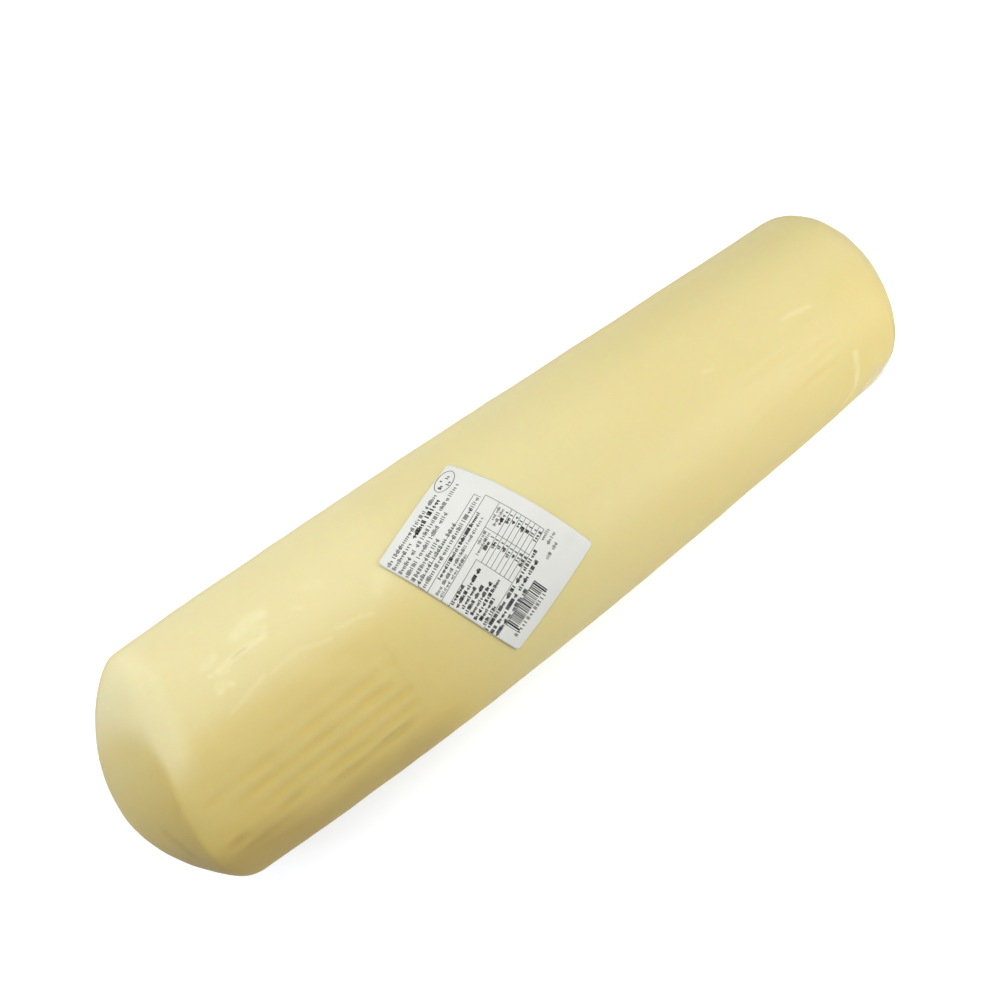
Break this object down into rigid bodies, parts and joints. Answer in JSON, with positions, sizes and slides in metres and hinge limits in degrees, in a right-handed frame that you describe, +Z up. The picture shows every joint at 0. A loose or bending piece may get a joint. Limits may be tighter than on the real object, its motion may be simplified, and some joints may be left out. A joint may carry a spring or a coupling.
{
  "type": "whole provolone cheese log in clear film",
  "caption": "Whole log of provolone cheese with domed ends, tight in clear film, with a curved paper label on its side; it lies on a narrow flat.",
  "frame": {"origin": "centre of the footprint, on the surface that the log lies on", "axes": "+X along the log from its blunt end to its slimmer end, +Z up; the label's lower half is on the -Y side"},
  "size_m": [0.4852, 0.1264, 0.1233],
  "materials": {
    "cheese": "pale yellow waxy cheese seen through tight clear film, satin with soft highlights",
    "film": "clear shrink film, glossy, with small creases near the ends",
    "paper": "white coated label paper, matt",
    "ink": "dark grey thermal print"
  },
  "bodies": {
    "root": {"wrapped_cheese": "cheese", "label": "paper"}
  },
  "joints": []
}
